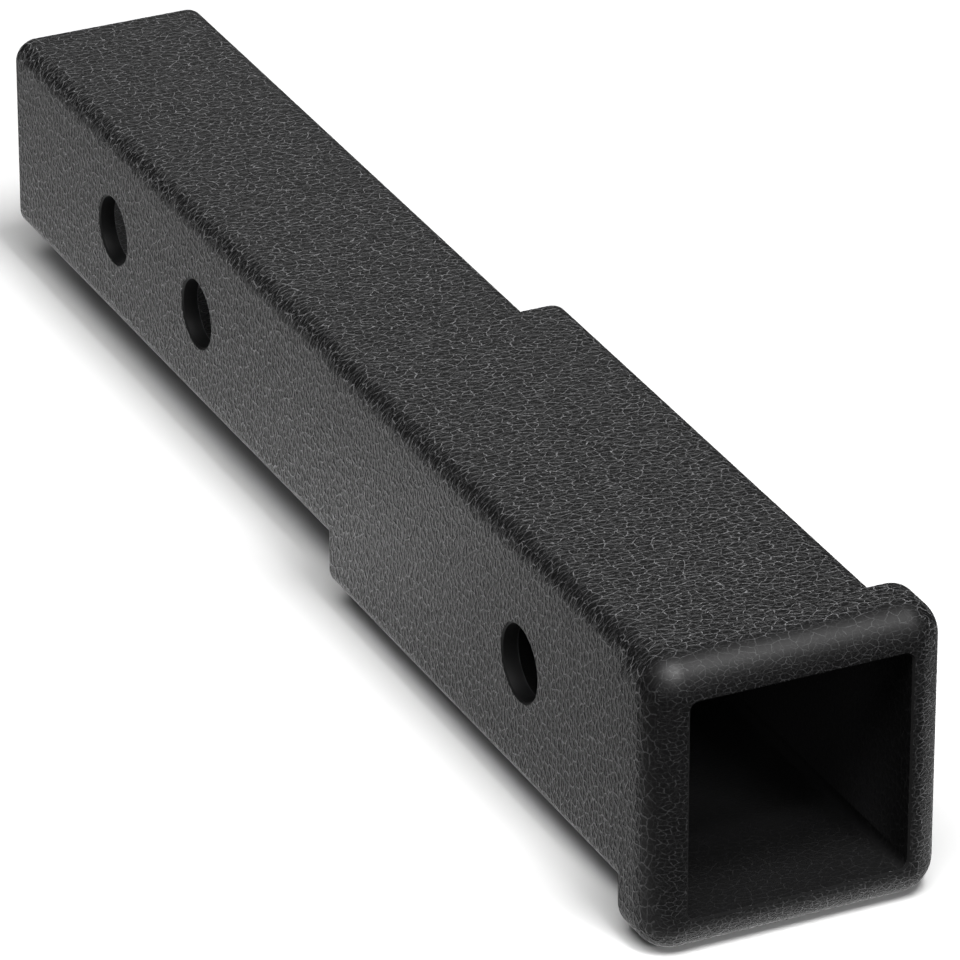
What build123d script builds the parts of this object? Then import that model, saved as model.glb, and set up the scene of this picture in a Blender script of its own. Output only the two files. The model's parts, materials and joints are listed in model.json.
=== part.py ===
from build123d import *
import os

# Hitch receiver extender, welded steel, in millimetres.
# A square shank tube goes into a vehicle's receiver and carries two pin holes.
# Its other end is welded into a larger square tube, the new receiver, whose mouth has a
# forged collar with a bullnose front.
# +X runs along the tubes towards the mouth, +Z is up, and the pin holes run along Y.
# The origin is on the tubes' common axis, at the centre of the pin hole nearest the free end.

# Shank tube
shank_size = 50.0
shank_wall = 4.0
shank_corner = 5.2
shank_inner_corner = 1.5
shank_end_to_pin = 60.0
shank_pin_pitch = 50.0
shank_pin_diameter = 16.7
shank_exposed = 196.0
shank_overlap = 34.0
shank_clearance = 1.0

# Receiver tube, measured from its rear face to the front of the collar
receiver_wall = 4.0
receiver_corner = 5.3
receiver_inner_corner = 2.0
receiver_reach = 174.0
receiver_mouth_to_pin = 74.0
receiver_pin_diameter = 17.7

# Collar round the mouth: its wall outside the tube, its length and the lip over the tube's end
collar_wall = 5.0
collar_length = 15.5
collar_lip = 8.5
collar_fit = 0.1
collar_front_flat = 0.8
collar_mouth_break = 0.4
collar_corner_margin = 0.2

# Edges that the coating leaves slightly soft
edge_break = 0.4

# Fillet welds, laid along the flats and stopped short of the tubes' round corners
weld_run_leg = 5.0
weld_toe_margin = 1.0
weld_stop = 2.0

# Sizes that follow from the ones above
shank_bore = shank_size - 2 * shank_wall
receiver_bore = shank_size + 2 * shank_clearance
receiver_size = receiver_bore + 2 * receiver_wall
collar_size = receiver_size + 2 * collar_wall
collar_seat_size = receiver_size + 2 * collar_fit
collar_bullnose = receiver_wall + collar_wall - collar_front_flat
collar_corner = collar_bullnose + collar_corner_margin

# Stations along X
shank_free_end = -shank_end_to_pin
receiver_rear = shank_free_end + shank_exposed
shank_inner_end = receiver_rear + shank_overlap
mouth_face = receiver_rear + receiver_reach
receiver_pin = mouth_face - receiver_mouth_to_pin
collar_rear = mouth_face - collar_length
collar_seat = mouth_face - collar_lip


def across(station):
    """The plane square to the tubes at a station along X, with its normal towards the mouth."""
    return Plane(origin=(station, 0, 0), x_dir=(0, 1, 0), z_dir=(1, 0, 0))


def side_wall(size):
    """The outside of a tube's side wall, with local x along the tube and local y up."""
    return Plane(origin=(0, -size / 2, 0), x_dir=(1, 0, 0), z_dir=(0, -1, 0))


def end_face(part, station):
    """The face of a part that is square to the tubes and nearest to a station along X."""
    return part.faces().filter_by(Plane.YZ).sort_by(lambda face: abs(face.center().X - station))[0]


def pin_hole_rims(part, size):
    """The round edges where pin holes open on the outside of a tube's two side walls."""
    level = part.edges().filter_by(GeomType.CIRCLE).filter_by(lambda rim: abs(rim.center().Z) < 1e-6)
    return level.filter_by(lambda rim: abs(abs(rim.center().Y) - size / 2) < 1e-6)


# Shank tube: a pin hole is one bore through both side walls
with BuildPart() as shank_tube:
    with BuildSketch(across(shank_free_end)):
        RectangleRounded(shank_size, shank_size, shank_corner)
        RectangleRounded(shank_bore, shank_bore, shank_inner_corner, mode=Mode.SUBTRACT)
    extrude(amount=shank_inner_end - shank_free_end)
    chamfer(end_face(shank_tube.part, shank_free_end).outer_wire().edges(), edge_break)
    with Locations(side_wall(shank_size)):
        with Locations((0, 0), (shank_pin_pitch, 0)):
            Hole(shank_pin_diameter / 2)
    chamfer(pin_hole_rims(shank_tube.part, shank_size), edge_break)
shank_tube.part.label = "shank_tube"

# Receiver tube: its front end seats against the collar's lip
with BuildPart() as receiver_tube:
    with BuildSketch(across(receiver_rear)):
        RectangleRounded(receiver_size, receiver_size, receiver_corner)
        RectangleRounded(receiver_bore, receiver_bore, receiver_inner_corner, mode=Mode.SUBTRACT)
    extrude(amount=collar_seat - receiver_rear)
    chamfer(end_face(receiver_tube.part, receiver_rear).outer_wire().edges(), edge_break)
    with Locations(side_wall(receiver_size)):
        with Locations((receiver_pin, 0)):
            Hole(receiver_pin_diameter / 2)
    chamfer(pin_hole_rims(receiver_tube.part, receiver_size), edge_break)
receiver_tube.part.label = "receiver_tube"

# Collar: the bullnose rounds nearly the whole front, and its corners end in ball corners
with BuildPart() as collar:
    with BuildSketch(across(collar_rear)):
        RectangleRounded(collar_size, collar_size, collar_corner)
    extrude(amount=collar_length)
    fillet(end_face(collar.part, mouth_face).outer_wire().edges(), collar_bullnose)
    with BuildSketch(across(collar_rear)):
        RectangleRounded(receiver_bore, receiver_bore, receiver_inner_corner)
    extrude(amount=collar_length, mode=Mode.SUBTRACT)
    with BuildSketch(across(collar_rear)):
        RectangleRounded(collar_seat_size, collar_seat_size, receiver_corner + collar_fit)
    extrude(amount=collar_seat - collar_rear, mode=Mode.SUBTRACT)
    chamfer(end_face(collar.part, mouth_face).inner_wires()[0].edges(), collar_mouth_break)
    chamfer(end_face(collar.part, collar_rear).outer_wire().edges(), edge_break)
collar.part.label = "collar"


def weld_bead(label, face_station, tube_size, tube_corner, step, turn):
    """A fillet weld between a tube's flat and the face that steps up from it, towards +X.

    Its ends are quarter rounds about the weld's root. turn picks the side of the tube: 0 is
    the top, and 90 is the side at -Y.
    """
    run = Vector(0, 1, 0).rotate(Axis.X, turn)
    out = Vector(0, 0, 1).rotate(Axis.X, turn)
    root = Vector(face_station, 0, 0) + out * (tube_size / 2)
    half = tube_size / 2 - tube_corner - weld_stop - weld_run_leg
    with BuildPart() as bead:
        with BuildSketch(Plane(origin=root - run * half, x_dir=(-1, 0, 0), z_dir=run)) as profile:
            with BuildLine():
                Polyline((0, step - weld_toe_margin), (0, 0), (weld_run_leg, 0), close=True)
            make_face()
        extrude(amount=2 * half)
        revolve(profile.sketch, axis=Axis(root - run * half, out), revolution_arc=90)
        mirror(about=Plane(origin=root, z_dir=run))
    bead.part.label = label
    return bead.part


# Welds behind the receiver tube's rear face and behind the collar, one along each flat
weld_beads = []
for side, turn in {"top": 0, "left": 90, "bottom": 180, "right": 270}.items():
    shank_step = (receiver_size - shank_size) / 2
    weld_beads += [
        weld_bead("shank_weld_" + side, receiver_rear, shank_size, shank_corner, shank_step, turn),
        weld_bead("collar_weld_" + side, collar_rear, receiver_size, receiver_corner, collar_wall, turn),
    ]

os.makedirs("parts", exist_ok=True)
export_step(shank_tube.part, "parts/shank_tube.step")
export_step(receiver_tube.part, "parts/receiver_tube.step")
export_step(collar.part, "parts/collar.step")
for bead in weld_beads:
    export_step(bead, "parts/" + bead.label + ".step")
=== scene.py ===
import json
from math import cos, pi, radians, sin, sqrt

import bmesh
import bpy
from mathutils import Matrix, Vector


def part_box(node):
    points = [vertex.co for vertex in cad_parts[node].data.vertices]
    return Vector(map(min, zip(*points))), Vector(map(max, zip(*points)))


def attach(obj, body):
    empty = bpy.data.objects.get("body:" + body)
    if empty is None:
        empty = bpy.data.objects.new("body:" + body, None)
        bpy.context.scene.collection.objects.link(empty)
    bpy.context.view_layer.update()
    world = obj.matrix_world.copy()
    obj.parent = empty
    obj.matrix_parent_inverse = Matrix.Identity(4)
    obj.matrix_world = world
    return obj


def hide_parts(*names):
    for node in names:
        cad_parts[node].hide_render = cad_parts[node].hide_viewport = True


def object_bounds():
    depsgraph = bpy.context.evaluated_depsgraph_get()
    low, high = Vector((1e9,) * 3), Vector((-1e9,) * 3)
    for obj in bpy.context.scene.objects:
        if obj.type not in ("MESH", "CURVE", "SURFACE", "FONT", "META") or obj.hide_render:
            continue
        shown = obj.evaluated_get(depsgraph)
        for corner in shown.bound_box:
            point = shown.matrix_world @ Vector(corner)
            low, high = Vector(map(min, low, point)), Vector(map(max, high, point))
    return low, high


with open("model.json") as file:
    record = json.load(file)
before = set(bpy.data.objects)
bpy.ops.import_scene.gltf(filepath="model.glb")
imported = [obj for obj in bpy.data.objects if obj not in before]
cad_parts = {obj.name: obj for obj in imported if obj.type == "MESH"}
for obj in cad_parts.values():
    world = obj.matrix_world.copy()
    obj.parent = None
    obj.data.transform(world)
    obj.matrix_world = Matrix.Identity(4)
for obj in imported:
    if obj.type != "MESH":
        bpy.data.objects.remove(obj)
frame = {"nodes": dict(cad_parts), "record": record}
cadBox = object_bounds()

# Hitch receiver extender: black crackle powder coat over welded square tube, on a pale studio floor
# Everything is in metres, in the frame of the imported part
print("frame loaded:", len(frame["nodes"]), "nodes")


# Node helpers

def addNode(tree, kind, inputs=None, **settings):
    # inputs maps a socket's name or number to another socket or to a value
    node = tree.nodes.new(kind)
    for name, value in settings.items():
        setattr(node, name, value)
    for name, value in (inputs or {}).items():
        if isinstance(value, bpy.types.NodeSocket):
            tree.links.new(value, node.inputs[name])
        else:
            node.inputs[name].default_value = value
    return node


def mathNode(tree, operation, *values):
    return addNode(tree, "ShaderNodeMath", dict(enumerate(values)), operation=operation).outputs[0]


def rangeNode(tree, value, fromMin, fromMax, toMin, toMax, smooth=True):
    sockets = {"Value": value, "From Min": fromMin, "From Max": fromMax, "To Min": toMin, "To Max": toMax}
    kind = "SMOOTHSTEP" if smooth else "LINEAR"
    return addNode(tree, "ShaderNodeMapRange", sockets, interpolation_type=kind).outputs["Result"]


def newGroup(name, inputs, outputs):
    # inputs: name, socket kind and default; outputs: name and socket kind
    group = bpy.data.node_groups.new(name, "ShaderNodeTree")
    for label, kind, value in inputs:
        socket = group.interface.new_socket(label, in_out="INPUT", socket_type=kind)
        if value is not None:
            socket.default_value = value
    for label, kind in outputs:
        group.interface.new_socket(label, in_out="OUTPUT", socket_type=kind)
    return group, group.nodes.new("NodeGroupInput").outputs, group.nodes.new("NodeGroupOutput").inputs


# Crackle: the cured wrinkles of the coat

wrinkles = {
    "stretch": 1.6,  # longer across the tubes than along them
    "endShift": 0.05,  # takes the end faces to another part of the pattern
    "wobbleDetail": 4.0, "wobbleRoughness": 0.62, "wobbleReach": 4.0,
    "ridgeWidth": 2.8, "fineWidth": 0.8,  # as shares of the threads' width
    # coarse and fine threads take turns on patches of noise: from which value, full at which, and the least
    "patchSize": 0.8, "patchDetail": 2.0, "coarsePatch": (0.40, 0.58, 0.25), "finePatch": (0.62, 0.42, 0.3),
    "grainSize": 0.45, "grainDetail": 2.0, "grainRoughness": 0.55,
}


def makeFacingGroup():
    # flat coordinates on the face that a surface looks along: X, Y or Z
    group, given, made = newGroup("faceCoordinates", [
        ("Point", "NodeSocketVector", None),
        ("Facing", "NodeSocketVector", None),
        ("Stretch", "NodeSocketFloat", wrinkles["stretch"]),
    ], [("Flat", "NodeSocketVector")])
    place = addNode(group, "ShaderNodeSeparateXYZ", {0: given["Point"]}).outputs
    facing = addNode(group, "ShaderNodeSeparateXYZ", {0: given["Facing"]}).outputs
    size = {axis: mathNode(group, "ABSOLUTE", facing[axis]) for axis in "XYZ"}
    endOn = mathNode(group, "GREATER_THAN", size["X"], mathNode(group, "MAXIMUM", size["Y"], size["Z"]))
    sideOn = mathNode(group, "GREATER_THAN", size["Y"], size["Z"])
    across = {axis: mathNode(group, "DIVIDE", place[axis], given["Stretch"]) for axis in "YZ"}

    def pick(choice, no, yes):
        return mathNode(group, "MULTIPLY_ADD", choice, mathNode(group, "SUBTRACT", yes, no), no)

    # on the end faces the wrinkles are finer, and run level
    low = mathNode(group, "MULTIPLY", place["Z"], given["Stretch"])
    flat = addNode(group, "ShaderNodeCombineXYZ", {
        "X": pick(endOn, place["X"], place["Y"]),
        "Y": pick(endOn, pick(sideOn, across["Y"], across["Z"]), low),
        "Z": mathNode(group, "MULTIPLY", endOn, wrinkles["endShift"]),
    })
    group.links.new(flat.outputs[0], made["Flat"])
    return group


def makeCrackleGroup():
    # raised threads round cells of two sizes, with a fine grain between them
    group, given, made = newGroup("crackle", [
        ("Flat", "NodeSocketVector", None),
        ("Cell Size", "NodeSocketFloat", 0.003),
        ("Fine Size", "NodeSocketFloat", 0.0012),
        ("Thread Width", "NodeSocketFloat", 0.0003),
        ("Wander", "NodeSocketFloat", 0.0006),
        ("Fine Share", "NodeSocketFloat", 0.5),
        ("Fine Ridge", "NodeSocketFloat", 0.5),
        ("Grain Share", "NodeSocketFloat", 0.5),
    ], [
        ("Threads", "NodeSocketFloat"),
        ("Grain", "NodeSocketFloat"),
        ("Height", "NodeSocketFloat"),
    ])

    def noise(size, detail, roughness=0.5, vector=given["Flat"]):
        return addNode(group, "ShaderNodeTexNoise",
                       {"Vector": vector, "Scale": mathNode(group, "DIVIDE", 1.0, size),
                        "Detail": detail, "Roughness": roughness}).outputs

    wobble = noise(given["Cell Size"], wrinkles["wobbleDetail"], wrinkles["wobbleRoughness"])["Color"]
    centred = addNode(group, "ShaderNodeVectorMath", {0: wobble, 1: (0.5, 0.5, 0.5)}, operation="SUBTRACT")
    reach = mathNode(group, "MULTIPLY", given["Wander"], wrinkles["wobbleReach"])
    shifted = addNode(group, "ShaderNodeVectorMath", {0: centred.outputs[0], "Scale": reach}, operation="SCALE")
    warped = addNode(group, "ShaderNodeVectorMath", {0: given["Flat"], 1: shifted.outputs[0]},
                     operation="ADD").outputs[0]

    def threads(size, share):
        # a thin bright thread on the walls between cells, and the broad ridge that it runs along
        # the distance is in cells, so the widths are too
        cells = addNode(group, "ShaderNodeTexVoronoi",
                        {"Vector": warped, "Scale": mathNode(group, "DIVIDE", 1.0, size), "Randomness": 1.0},
                        voronoi_dimensions="2D", feature="DISTANCE_TO_EDGE")
        distance = cells.outputs["Distance"]
        narrow = mathNode(group, "DIVIDE", mathNode(group, "MULTIPLY", given["Thread Width"], share), size)
        broad = mathNode(group, "MULTIPLY", narrow, wrinkles["ridgeWidth"])
        line, ridge = (rangeNode(group, distance, 0.0, width, 1.0, 0.0) for width in (narrow, broad))
        return line, ridge

    coarse, coarseRidge = threads(given["Cell Size"], 1.0)
    fine, fineRidge = threads(given["Fine Size"], wrinkles["fineWidth"])
    patchSize = mathNode(group, "MULTIPLY", given["Cell Size"], wrinkles["patchSize"])
    patches = noise(patchSize, wrinkles["patchDetail"])["Fac"]

    def inPatches(lines, patch):
        start, full, least = patch
        return mathNode(group, "MULTIPLY", lines, rangeNode(group, patches, start, full, least, 1.0))

    fineHeld = mathNode(group, "MULTIPLY", inPatches(fine, wrinkles["finePatch"]), given["Fine Share"])
    both = mathNode(group, "MAXIMUM", inPatches(coarse, wrinkles["coarsePatch"]), fineHeld)
    grainSize = mathNode(group, "MULTIPLY", given["Fine Size"], wrinkles["grainSize"])
    grain = noise(grainSize, wrinkles["grainDetail"], wrinkles["grainRoughness"], warped)["Fac"]
    ridges = mathNode(group, "MULTIPLY_ADD", fineRidge, given["Fine Ridge"], coarseRidge)
    group.links.new(both, made["Threads"])
    group.links.new(grain, made["Grain"])
    group.links.new(mathNode(group, "MULTIPLY_ADD", grain, given["Grain Share"], ridges), made["Height"])
    return group


# Masks for the pin holes and for the inside of the tubes

bores = {
    "wall": 0.004, "over": 0.0001,  # of the tubes, and how far the mask reaches into it
    "lip": 0.0005,  # the masks start this far inside the receiver's rear face and the mouth
    "bottomBand": 0.0023, "bottomLead": 0.018, "bottomShare": 0.6,
    # painted light inside the bores, from where it starts to where it is full, behind the mouth
    "deepFrom": 0.002, "deepTo": 0.030,  # behind the mouth
    # painted light inside the bores, from where it starts to where it is full, ahead of the free end
    "freeEndTo": 0.140, "freeEndFull": 0.060,  # ahead of the free end
    "rimWidth": 0.0010, "rimGap": 0.00005, "rimFacing": 0.9,
}


def makePinHoleGroup():
    # 1 on the wall of a pin hole that runs along Y, 0 elsewhere
    group, given, made = newGroup("pinHoleWall", [
        ("Point", "NodeSocketVector", None),
        ("Centre X", "NodeSocketFloat", 0.0),
        ("Radius", "NodeSocketFloat", 0.008),
        ("Softness", "NodeSocketFloat", 0.0003),
    ], [("Wall", "NodeSocketFloat")])
    place = addNode(group, "ShaderNodeSeparateXYZ", {0: given["Point"]}).outputs
    along = mathNode(group, "SUBTRACT", place["X"], given["Centre X"])
    away = mathNode(group, "SQRT", mathNode(group, "ADD", mathNode(group, "MULTIPLY", along, along),
                                            mathNode(group, "MULTIPLY", place["Z"], place["Z"])))
    outer = mathNode(group, "ADD", given["Radius"], given["Softness"])
    group.links.new(rangeNode(group, away, given["Radius"], outer, 1.0, 0.0), made["Wall"])
    return group


def makeInsideGroup():
    # 1 inside the square bores of the tubes, 0 on everything outside them
    receiver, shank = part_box("receiver_tube"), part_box("shank_tube")
    freeEnd, mouth = cadBox[0].x, cadBox[1].x
    group, given, made = newGroup("insideBores", [
        ("Point", "NodeSocketVector", None),
        ("Half Width", "NodeSocketFloat", receiver[1].y - bores["wall"] + bores["over"]),
        ("Mouth X", "NodeSocketFloat", mouth - bores["lip"]),
        ("Facing X", "NodeSocketFloat", 0.0),
    ], [
        ("Inside", "NodeSocketFloat"),
        ("Deep", "NodeSocketFloat"),
        ("Free End", "NodeSocketFloat"),
        ("Rim", "NodeSocketFloat"),
    ])
    place = addNode(group, "ShaderNodeSeparateXYZ", {0: given["Point"]}).outputs
    across = mathNode(group, "MAXIMUM", mathNode(group, "ABSOLUTE", place["Y"]),
                      mathNode(group, "ABSOLUTE", place["Z"]))
    within = mathNode(group, "LESS_THAN", across, given["Half Width"])
    behind = mathNode(group, "LESS_THAN", place["X"], given["Mouth X"])
    shankSide = mathNode(group, "LESS_THAN", across, shank[1].y - bores["wall"] + bores["over"])
    ahead = mathNode(group, "GREATER_THAN", place["X"], receiver[0].x + bores["lip"])
    inside = mathNode(group, "MULTIPLY", mathNode(group, "MULTIPLY", within, behind),
                      mathNode(group, "MAXIMUM", shankSide, ahead))
    group.links.new(inside, made["Inside"])
    # painted light deep in the bore, behind the mouth; the bore's bottom, in the light through the mouth, gets
    # less of it and stays darker than its walls
    bottom = mathNode(group, "SUBTRACT", bores["bottomBand"], given["Half Width"])
    low = mathNode(group, "LESS_THAN", place["Z"], bottom)
    depth = mathNode(group, "MULTIPLY_ADD", low, bores["bottomLead"], place["X"])
    deep = mathNode(group, "MULTIPLY", inside,
                    rangeNode(group, depth, mouth - bores["deepFrom"], mouth - bores["deepTo"], 0.0, 1.0))
    share = rangeNode(group, low, 0.0, 1.0, 1.0, bores["bottomShare"])
    group.links.new(mathNode(group, "MULTIPLY", deep, share), made["Deep"])
    # painted light inside the bore towards its open free end
    atEnd = rangeNode(group, place["X"], freeEnd + bores["freeEndTo"], freeEnd + bores["freeEndFull"], 0.0, 1.0)
    group.links.new(mathNode(group, "MULTIPLY", inside, atEnd), made["Free End"])
    # of the mouth's edge only the chamfer, not the flat round it
    wide = mathNode(group, "ADD", given["Half Width"], bores["rimWidth"])
    edge = mathNode(group, "ADD", given["Mouth X"], bores["rimGap"])
    near = mathNode(group, "MULTIPLY", mathNode(group, "LESS_THAN", across, wide),
                    mathNode(group, "GREATER_THAN", place["X"], edge))
    group.links.new(mathNode(group, "MULTIPLY", near,
                             mathNode(group, "LESS_THAN", given["Facing X"], bores["rimFacing"])), made["Rim"])
    return group


facingGroup = makeFacingGroup()
crackleGroup = makeCrackleGroup()
pinHoleGroup = makePinHoleGroup()
insideGroup = makeInsideGroup()
pinHoles = [(mount["pos_m"][0], mount["dims"]["r_mm"] / 1000)
            for mount in frame["record"]["mounts"] if mount["kind"] == "bore"]
print("node groups built for", len(pinHoles), "pin holes")


# Materials

powderCoat = {
    "name": "powderCoat", "hollow": True,
    # lighter threads: partly their own tone, partly a painted highlight on their ridges
    "body": (0.0016, 0.0016, 0.0017), "thread": (0.158, 0.158, 0.1615),
    "roughness": 0.47, "grainRoughness": 0.08, "ior": 1.25,
    "cell": 0.0018, "fine": 0.0010, "wander": 0.00036, "fineShare": 0.30, "fineRidge": 0.6, "grainShare": 0.6,
    "bump": 0.00026,
    # how much shows of a thread seen square on, and its width and relief on upright faces
    "faceOn": 0.155, "width": 0.00009, "sideWidth": 0.00016, "sideRaise": 2.1,
}
weldCoat = {
    "name": "weldCoat", "hollow": False,
    # here too the lighter threads are partly their own tone, partly a painted highlight on their ridges
    "body": (0.0016, 0.0016, 0.0017), "thread": (0.085, 0.085, 0.087),
    "roughness": 0.42, "grainRoughness": 0.08, "ior": 1.25,
    "cell": 0.0024, "fine": 0.0013, "wander": 0.00060, "fineShare": 0.3, "fineRidge": 0.5, "grainShare": 0.6,
    "bump": 0.00010,
    "faceOn": 0.10, "width": 0.00018, "sideWidth": 0.00018, "sideRaise": 1.0,
}
hollowCoatAndPaintedLight = {
    # the coat inside the tubes, with painted light: a lighter colour deep behind the mouth, near the free end
    # and on the walls of the pin holes
    "deepPaintedLight": (0.028, 0.028, 0.0292), "threadsInside": 0.07,
    "freeEndPaintedLight": (0.095, 0.095, 0.097), "freeEndThreadPaintedLight": (0.60, 0.60, 0.61),
    "pinHoleOver": 0.0001, "pinHoleRim": 0.0004, "pinHolePaintedLight": 0.04,
}
coatAngles = {
    # the threads' painted sheen: where it begins to show, and where it shows fully
    "squareOn": 0.18, "grazing": 0.62,  # where the threads begin to show, and where they show fully
    "flat": 0.25, "raised": 0.55,  # the same for their relief
    "upright": 0.2, "level": 0.8,  # how far a face looks up or down
    "grainLow": 0.3, "grainHigh": 0.7,
}


def mixColour(tree, factor, first, second):
    node = addNode(tree, "ShaderNodeMix", {"Factor": factor}, data_type="RGBA")
    for socket, colour in ((node.inputs[6], first), (node.inputs[7], second)):
        if isinstance(colour, bpy.types.NodeSocket):
            tree.links.new(colour, socket)
        else:
            socket.default_value = (*colour, 1.0)
    return node.outputs[2]


def makeCoat(finish):
    material = bpy.data.materials.new(finish["name"])
    material.use_nodes = True
    tree = material.node_tree
    shader = tree.nodes["Principled BSDF"]
    point = addNode(tree, "ShaderNodeTexCoord").outputs["Object"]
    geometry = addNode(tree, "ShaderNodeNewGeometry").outputs
    facing = addNode(tree, "ShaderNodeSeparateXYZ", {0: geometry["True Normal"]}).outputs
    level = mathNode(tree, "ABSOLUTE", facing["Z"])

    def byFace(upright, flat):
        return rangeNode(tree, level, coatAngles["upright"], coatAngles["level"], upright, flat)

    flat = addNode(tree, "ShaderNodeGroup", {"Point": point, "Facing": geometry["Normal"]},
                   node_tree=facingGroup).outputs["Flat"]
    crackle = addNode(tree, "ShaderNodeGroup", {
        "Flat": flat, "Cell Size": finish["cell"], "Fine Size": finish["fine"],
        "Thread Width": byFace(finish["sideWidth"], finish["width"]), "Wander": finish["wander"],
        "Fine Share": finish["fineShare"], "Fine Ridge": finish["fineRidge"],
        "Grain Share": finish["grainShare"],
    }, node_tree=crackleGroup).outputs
    threads, height = crackle["Threads"], crackle["Height"]
    body, thread = finish["body"], finish["thread"]
    rough = rangeNode(tree, crackle["Grain"], coatAngles["grainLow"], coatAngles["grainHigh"],
                      finish["roughness"], finish["roughness"] + finish["grainRoughness"], smooth=False)

    if finish["hollow"]:
        inside = addNode(tree, "ShaderNodeGroup",
                         {"Point": point, "Facing X": mathNode(tree, "ABSOLUTE", facing["X"])},
                         node_tree=insideGroup).outputs
        held = rangeNode(tree, inside["Inside"], 0.0, 1.0, 1.0, hollowCoatAndPaintedLight["threadsInside"])
        # near the free end the threads show fully, in painted light
        held = mathNode(tree, "MAXIMUM", held, inside["Free End"])
        held = mathNode(tree, "MULTIPLY", held, mathNode(tree, "SUBTRACT", 1.0, inside["Rim"]))
        deep = inside["Deep"]
        for centre, radius in pinHoles:
            wall = addNode(tree, "ShaderNodeGroup", {
                "Point": point, "Centre X": centre, "Radius": radius + hollowCoatAndPaintedLight["pinHoleOver"],
                "Softness": hollowCoatAndPaintedLight["pinHoleRim"],
            }, node_tree=pinHoleGroup).outputs["Wall"]
            held = mathNode(tree, "MULTIPLY", held, mathNode(tree, "SUBTRACT", 1.0, wall))
            # the pin-hole walls take a little of the painted light
            deep = mathNode(tree, "MAXIMUM", deep, mathNode(tree, "MULTIPLY", wall, hollowCoatAndPaintedLight["pinHolePaintedLight"]))
        threads, height = mathNode(tree, "MULTIPLY", threads, held), mathNode(tree, "MULTIPLY", height, held)
        # painted light: the colour is lightened deep behind the mouth and on the pin-hole walls
        body = mixColour(tree, deep, body, hollowCoatAndPaintedLight["deepPaintedLight"])
        # painted light near the open free end: body and threads much lighter
        body = mixColour(tree, inside["Free End"], body, hollowCoatAndPaintedLight["freeEndPaintedLight"])
        thread = mixColour(tree, inside["Free End"], thread, hollowCoatAndPaintedLight["freeEndThreadPaintedLight"])
        rough = mathNode(tree, "MAXIMUM", rough, inside["Rim"])  # the chamfer round the mouth stays dull

    # painted sheen on the threads: seen square on, their lighter colour fades and the wrinkles flatten; towards
    # grazing they stand out
    edgeOn = addNode(tree, "ShaderNodeLayerWeight", {"Blend": 0.5}).outputs["Facing"]
    shown = rangeNode(tree, edgeOn, coatAngles["squareOn"], coatAngles["grazing"], finish["faceOn"], 1.0)
    colour = mixColour(tree, mathNode(tree, "MULTIPLY", threads, shown), body, thread)
    raised = rangeNode(tree, edgeOn, coatAngles["flat"], coatAngles["raised"], 0.0, 1.0)
    raised = mathNode(tree, "MULTIPLY", shown, raised)
    raised = mathNode(tree, "MULTIPLY", raised, byFace(finish["sideRaise"], 1.0))
    bump = addNode(tree, "ShaderNodeBump", {"Height": height, "Distance": finish["bump"], "Strength": raised})
    shader.inputs["IOR"].default_value = finish["ior"]
    tree.links.new(colour, shader.inputs["Base Color"])
    tree.links.new(rough, shader.inputs["Roughness"])
    tree.links.new(bump.outputs["Normal"], shader.inputs["Normal"])
    return material


coatMaterial = makeCoat(powderCoat)
weldMaterial = makeCoat(weldCoat)
for name, node in frame["nodes"].items():
    node.data.materials.clear()
    node.data.materials.append(weldMaterial if "_weld_" in name else coatMaterial)
print("materials on", len(frame["nodes"]), "nodes")


# Weld beads, rippled along the flats of the tubes

weldBead = {
    "ripple": 0.0019, "stepsPerRipple": 8, "valley": 0.11, "crest": 0.6, "lead": 0.0007,
    "crown": 0.0006, "crownPoints": 7, "endScale": 0.22,
}


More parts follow.
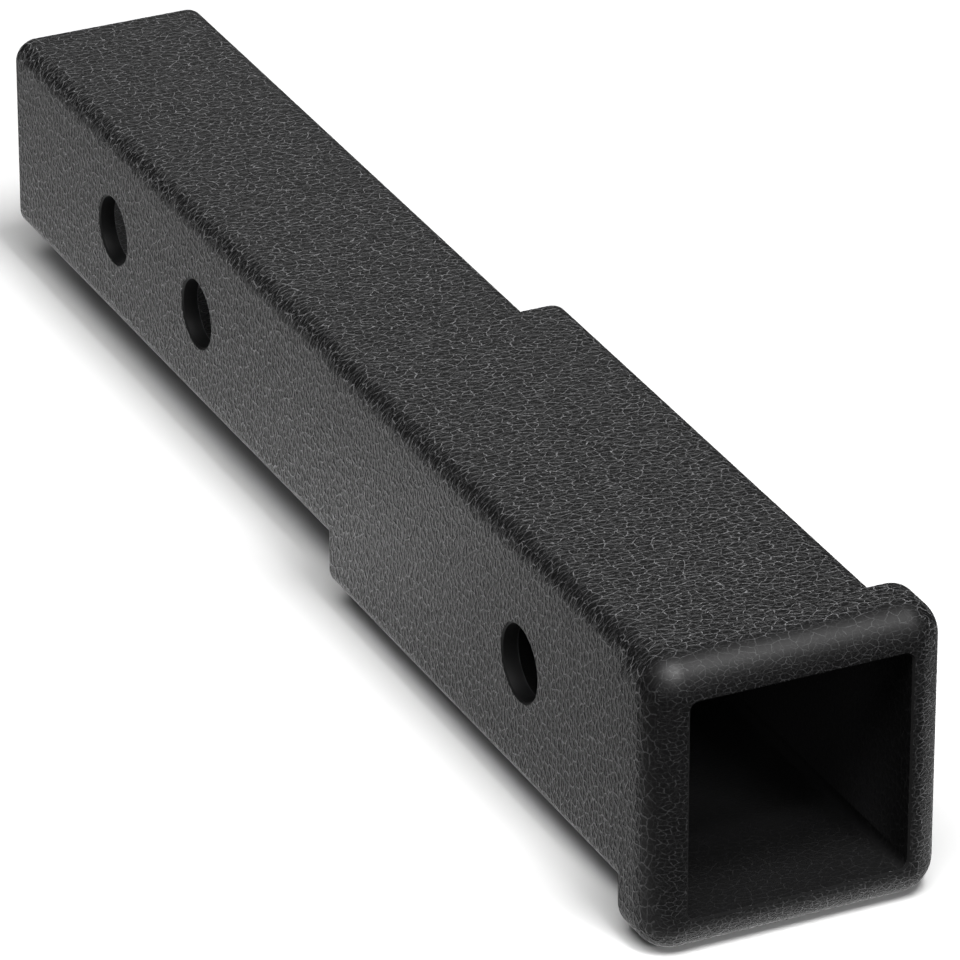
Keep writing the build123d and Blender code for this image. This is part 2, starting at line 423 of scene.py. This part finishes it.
def makeBead(node, side, turn):
    # built along the top of a tube from its CAD bead's box, then turned about X to its own side
    low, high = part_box(node)
    reach = {"top": (low.z, high.z), "bottom": (-high.z, -low.z), "left": (-high.y, -low.y),
             "right": (low.y, high.y)}[side]
    base, height, leg = reach[0], reach[1] - reach[0], high.x - low.x
    half = max(high.y - low.y, high.z - low.z) / 2
    root = Vector((high.x, 0, base))

    # the profile at one end: the root, and a crowned chord from toe to toe
    shape = bmesh.new()
    count = weldBead["crownPoints"]
    profile = [root.copy()]
    for k in range(count):
        share = k / (count - 1)
        bulge = sin(pi * share)
        onChord = Vector((-leg * share, 0, height * (1 - share)))
        outward = Vector((-height, 0, leg)).normalized() * weldBead["crown"] * bulge
        profile.append(root + onChord + outward + Vector((0, weldBead["lead"] * bulge, 0)))
    ring = [shape.verts.new(point + Vector((0, -half, 0))) for point in profile]
    shape.faces.new(ring)
    edges = [shape.edges.get((ring[k], ring[(k + 1) % len(ring)])) for k in range(len(ring))]

    def scaleAt(along):
        # round towards both ends, with a narrow valley between ripples
        fromEnd = min(1.0, (half - abs(along)) / leg)
        ends = weldBead["endScale"] + (1 - weldBead["endScale"]) * sqrt(max(0.0, 1 - (1 - fromEnd) ** 2))
        crest = abs(sin(pi * along / weldBead["ripple"])) ** weldBead["crest"]
        return ends * (1 - weldBead["valley"] * (1 - crest))

    def scaleRing(verts, factor, along):
        bmesh.ops.scale(shape, verts=verts, vec=(factor,) * 3,
                        space=Matrix.Translation(-(root + Vector((0, along, 0)))))

    total = 2 * half - weldBead["lead"]
    steps = round(total / weldBead["ripple"] * weldBead["stepsPerRipple"])
    was, along = scaleAt(-half), -half
    scaleRing(ring, was, along)
    for step in range(steps):
        grown = bmesh.ops.extrude_edge_only(shape, edges=edges)["geom"]
        verts = [item for item in grown if isinstance(item, bmesh.types.BMVert)]
        fresh = set(verts)
        edges = [item for item in grown if isinstance(item, bmesh.types.BMEdge) and set(item.verts) <= fresh]
        along += total / steps
        now = scaleAt(along)
        bmesh.ops.translate(shape, verts=verts, vec=(0, total / steps, 0))
        scaleRing(verts, now / was, along)
        was = now
    bmesh.ops.edgeloop_fill(shape, edges=edges)
    bmesh.ops.rotate(shape, verts=shape.verts, cent=(0, 0, 0), matrix=Matrix.Rotation(radians(turn), 3, "X"))
    bmesh.ops.recalc_face_normals(shape, faces=shape.faces)
    for face in shape.faces:
        face.smooth = len(face.verts) == 4  # the two ends stay flat

    mesh = bpy.data.meshes.new(node + "_bead")
    shape.to_mesh(mesh)
    shape.free()
    bead = bpy.data.objects.new(node + "_bead", mesh)
    bpy.context.scene.collection.objects.link(bead)
    mesh.materials.append(weldMaterial)
    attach(bead, "root")
    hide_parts(node)


for side, turn in (("top", 0), ("left", 90), ("bottom", 180), ("right", 270)):
    for run in ("shank_weld_", "collar_weld_"):
        makeBead(run + side, side, turn)
print("weld beads made")


# Floor, backdrop and lights

studio = {
    # the floor as the camera sees it, which turns into the white backdrop out of the lights' reach
    "floorSize": 12.0, "floorSeen": 0.48, "floorSeenFar": 0.85, "backdropFrom": 0.6, "backdropTo": 1.0,
    "worldSeen": 1.0, "worldLit": 0.025,
    # its glow on the part: beside the shank, beside the receiver and ahead of the mouth
    "glowBeside": 1.80, "glowUnder": 1.40, "glowAhead": 0.10,
    "underFrom": 0.13, "underTo": 0.21, "aheadFrom": 0.306, "aheadTo": 0.326,
    # it is brightest beside the receiver's rear, and fades away from the part
    "spotAt": (0.104, -0.064), "spotSize": 0.05, "spotGlow": 2.2,
    "nearBy": 0.28, "farOff": 0.50, "glowFar": 0.06,
    # only the part's side faces see the strip beside it
    "besideFrom": 0.084, "besideTo": 0.122, "besideLeft": 0.10,
    # and only its lower round edges see what is under it
    "belowGlow": 2.1, "belowHalf": 0.031, "belowEnd": 0.313,
}
studioLights = {
    # direction and distance from the object's middle, size, watts, and whether surfaces mirror it,
    # scatter it or both
    "overheadBox": {"towards": (0.43, 0.045, 0.90), "distance": 4.0, "size": (0.80, 1.50), "power": 199.0,
                    "litBy": "both"},
    "upperLeftBox": {"towards": (0.35, -0.27, 0.90), "distance": 3.5, "size": (2.10, 1.75), "power": 162.0,
                     "litBy": "both"},
    "rearBox": {"towards": (-0.89, 0.29, 0.34), "distance": 0.45, "size": (0.3, 0.2), "power": 0.115,
                "litBy": "both"},
    "fillBox": {"towards": (0.85, -0.35, 0.40), "distance": 1.5, "size": (0.6, 0.6), "power": 2.5,
                "litBy": "both"},
    # a broad sheen on the bullnose, and light from the far right that reaches under it
    "sheenBox": {"towards": (0.47, 0.045, 0.88), "distance": 4.0, "size": (1.6, 2.2), "power": 285.0,
                 "litBy": "mirroring"},
    "underFill": {"towards": (0.90, 0.30, 0.28), "distance": 2.4, "size": (0.7, 0.4), "power": 35.0,
                  "litBy": "scattering"},
}


def makeFloorMaterial():
    material = bpy.data.materials.new("paleFloor")
    material.use_nodes = True
    tree = material.node_tree
    tree.nodes.remove(tree.nodes["Principled BSDF"])
    seen = addNode(tree, "ShaderNodeLightPath").outputs["Is Camera Ray"]
    place = addNode(tree, "ShaderNodeSeparateXYZ", {0: addNode(tree, "ShaderNodeTexCoord").outputs["Object"]})
    along, beside = place.outputs["X"], mathNode(tree, "ABSOLUTE", place.outputs["Y"])
    flat = addNode(tree, "ShaderNodeCombineXYZ", {"X": along, "Y": place.outputs["Y"]}).outputs[0]
    away = addNode(tree, "ShaderNodeVectorMath", {0: flat, 1: (*studio["spotAt"], 0)},
                   operation="DISTANCE").outputs["Value"]

    # what lights the part
    glow = rangeNode(tree, along, studio["underFrom"], studio["underTo"],
                     studio["glowBeside"], studio["glowUnder"])
    glow = mathNode(tree, "ADD", glow, rangeNode(tree, away, 0.0, studio["spotSize"], studio["spotGlow"], 0.0))
    glow = rangeNode(tree, along, studio["aheadFrom"], studio["aheadTo"], glow, studio["glowAhead"])
    glow = mathNode(tree, "MULTIPLY", glow,
                    rangeNode(tree, away, studio["nearBy"], studio["farOff"], 1.0, studio["glowFar"]))
    glow = mathNode(tree, "MULTIPLY", glow, rangeNode(tree, beside, studio["besideFrom"], studio["besideTo"],
                                                      1.0, studio["besideLeft"]))
    below = mathNode(tree, "MULTIPLY", mathNode(tree, "LESS_THAN", beside, studio["belowHalf"]),
                     mathNode(tree, "LESS_THAN", along, studio["belowEnd"]))
    glow = mathNode(tree, "MAXIMUM", glow, mathNode(tree, "MULTIPLY", below, studio["belowGlow"]))
    card = addNode(tree, "ShaderNodeEmission", {"Color": (1, 1, 1, 1), "Strength": glow})

    # what the camera sees
    pale = rangeNode(tree, away, studio["nearBy"], studio["backdropTo"], studio["floorSeen"],
                     studio["floorSeenFar"])
    matte = addNode(tree, "ShaderNodeBsdfDiffuse", {"Color": pale})
    both = addNode(tree, "ShaderNodeMixShader", {0: seen, 1: card.outputs[0], 2: matte.outputs[0]})
    backdrop = addNode(tree, "ShaderNodeEmission", {"Color": (1, 1, 1, 1), "Strength": studio["worldSeen"]})
    beyond = mathNode(tree, "MULTIPLY", seen,
                      rangeNode(tree, away, studio["backdropFrom"], studio["backdropTo"], 0.0, 1.0))
    whole = addNode(tree, "ShaderNodeMixShader", {0: beyond, 1: both.outputs[0], 2: backdrop.outputs[0]})
    tree.links.new(whole.outputs[0], tree.nodes["Material Output"].inputs["Surface"])
    return material


def makeFloor():
    # level with the underside of the collar, as the photo's shadows show it
    shape = bmesh.new()
    bmesh.ops.create_grid(shape, x_segments=1, y_segments=1, size=studio["floorSize"] / 2)
    bmesh.ops.translate(shape, verts=shape.verts, vec=(0, 0, cadBox[0].z))
    mesh = bpy.data.meshes.new("studioFloor")
    shape.to_mesh(mesh)
    shape.free()
    floor = bpy.data.objects.new("studioFloor", mesh)
    bpy.context.scene.collection.objects.link(floor)
    mesh.materials.append(makeFloorMaterial())


def makeWorld():
    world = bpy.data.worlds.new("studioLight")
    world.use_nodes = True
    tree = world.node_tree
    background = tree.nodes["Background"]
    seen = addNode(tree, "ShaderNodeLightPath").outputs["Is Camera Ray"]
    strength = rangeNode(tree, seen, 0.0, 1.0, studio["worldLit"], studio["worldSeen"], smooth=False)
    background.inputs["Color"].default_value = (1, 1, 1, 1)
    tree.links.new(strength, background.inputs["Strength"])
    bpy.context.scene.world = world


def makeLights():
    low, high = cadBox
    middle = (low + high) / 2
    for name, box in studioLights.items():
        lamp = bpy.data.lights.new(name, "AREA")
        lamp.shape = "RECTANGLE"
        lamp.size, lamp.size_y = box["size"]
        lamp.energy = box["power"]
        light = bpy.data.objects.new(name, lamp)
        towards = Vector(box["towards"]).normalized()
        light.location = middle + towards * box["distance"]
        light.rotation_euler = towards.to_track_quat("Z", "Y").to_euler()
        light.visible_glossy = box["litBy"] != "scattering"
        light.visible_diffuse = box["litBy"] != "mirroring"
        bpy.context.scene.collection.objects.link(light)


makeFloor()
makeWorld()
makeLights()
print("studio ready:", len(studioLights), "lights")


# Camera

photoView = {
    "place": (1.59956, -0.68178, 0.82749), "azimuth": 64.77, "elevation": 27.39, "roll": -0.03,
    "lens": 300.26, "sensor": 36.0, "clip": (0.05, 50.0),
}


def makeCamera():
    turn, rise = radians(photoView["azimuth"]), radians(photoView["elevation"])
    back = Vector((sin(turn) * cos(rise), -cos(turn) * cos(rise), sin(rise)))
    right = Vector((cos(turn), sin(turn), 0))
    lens = bpy.data.cameras.new("photoCamera")
    lens.lens, lens.sensor_width = photoView["lens"], photoView["sensor"]
    lens.clip_start, lens.clip_end = photoView["clip"]
    camera = bpy.data.objects.new("photoCamera", lens)
    bpy.context.scene.collection.objects.link(camera)
    facing = Matrix((right, back.cross(right), back)).transposed()
    facing = facing @ Matrix.Rotation(radians(photoView["roll"]), 3, "Z")
    camera.matrix_world = Matrix.Translation(photoView["place"]) @ facing.to_4x4()
    bpy.context.scene.camera = camera


makeCamera()
bpy.context.scene.view_settings.view_transform = "Standard"
print("camera placed")
